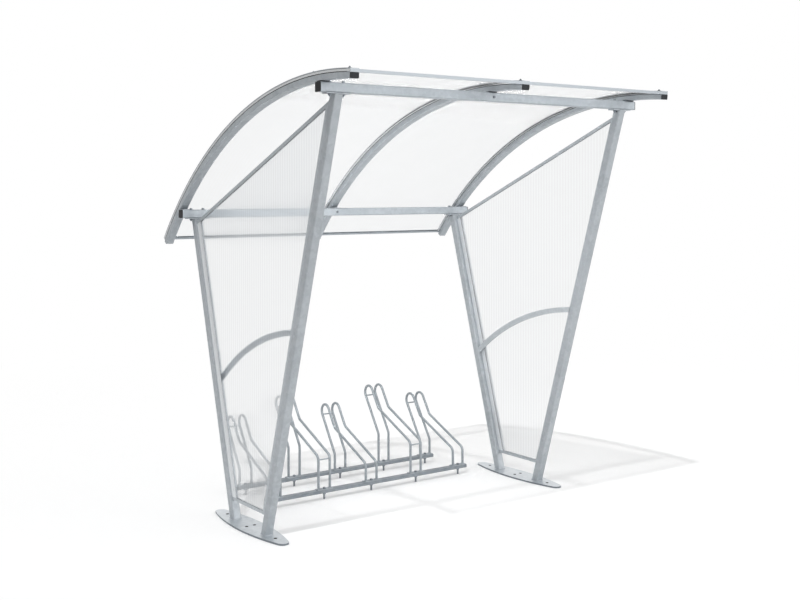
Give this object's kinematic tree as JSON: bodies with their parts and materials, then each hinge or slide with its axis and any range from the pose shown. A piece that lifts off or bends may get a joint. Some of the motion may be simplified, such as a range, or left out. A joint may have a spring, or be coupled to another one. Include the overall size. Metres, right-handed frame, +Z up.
{
  "type": "bike shelter",
  "caption": "Open cycle shelter: V-shaped steel side frames carry a curved translucent roof over a free-standing wheel rack, with clear side panels and slim base plates.",
  "frame": {"origin": "on the floor, under the middle of the shelter's width and depth", "axes": "+X along the shelter from the left frame to the right one, +Y from the open front to the low rear, +Z up"},
  "size_m": [2.218, 2.1496, 2.4872],
  "materials": {
    "galvanised_steel": "hot-dip galvanised, dull with a fine spangle",
    "rack_steel": "hot-dip galvanised, slightly darker",
    "polycarbonate": "clear twin-wall sheet, fluted, softly hazy",
    "aluminium_profile": "mill finish extrusion",
    "gasket_rubber": "matt black",
    "cap_plastic": "moulded, fine grain",
    "bolt_steel": "zinc plated"
  },
  "bodies": {
    "root": {"arch_end_caps": "cap_plastic", "front_arch_pads": "gasket_rubber", "front_edge_profile": "aluminium_profile", "front_purlin": "galvanised_steel", "left_base_plate": "galvanised_steel", "left_clamp_strip": "aluminium_profile", "left_curved_brace": "galvanised_steel", "left_front_post": "galvanised_steel", "left_panel_bottom_rail": "aluminium_profile", "left_panel_front_channel": "aluminium_profile", "left_panel_rear_channel": "aluminium_profile", "left_panel_top_rail": "aluminium_profile", "left_rear_post": "galvanised_steel", "left_roof_arch": "galvanised_steel", "left_roof_sheet": "polycarbonate", "left_side_panel": "polycarbonate", "lower_gaskets": "gasket_rubber", "middle_clamp_strip": "aluminium_profile", "middle_roof_arch": "galvanised_steel", "purlin_end_caps": "cap_plastic", "rack_floor_bolts": "bolt_steel", "rack_front_rail": "rack_steel", "rack_rear_rail": "rack_steel", "rear_arch_cleats": "galvanised_steel", "rear_edge_profile": "aluminium_profile", "rear_purlin": "galvanised_steel", "right_base_plate": "galvanised_steel", "right_clamp_strip": "aluminium_profile", "right_curved_brace": "galvanised_steel", "right_front_post": "galvanised_steel", "right_panel_bottom_rail": "aluminium_profile", "right_panel_front_channel": "aluminium_profile", "right_panel_rear_channel": "aluminium_profile", "right_panel_top_rail": "aluminium_profile", "right_rear_post": "galvanised_steel", "right_roof_arch": "galvanised_steel", "right_roof_sheet": "polycarbonate", "right_side_panel": "polycarbonate", "upper_gaskets": "gasket_rubber", "wheel_holder_1": "rack_steel", "wheel_holder_2": "rack_steel", "wheel_holder_3": "rack_steel", "wheel_holder_4": "rack_steel", "wheel_holder_5": "rack_steel"}
  },
  "joints": []
}
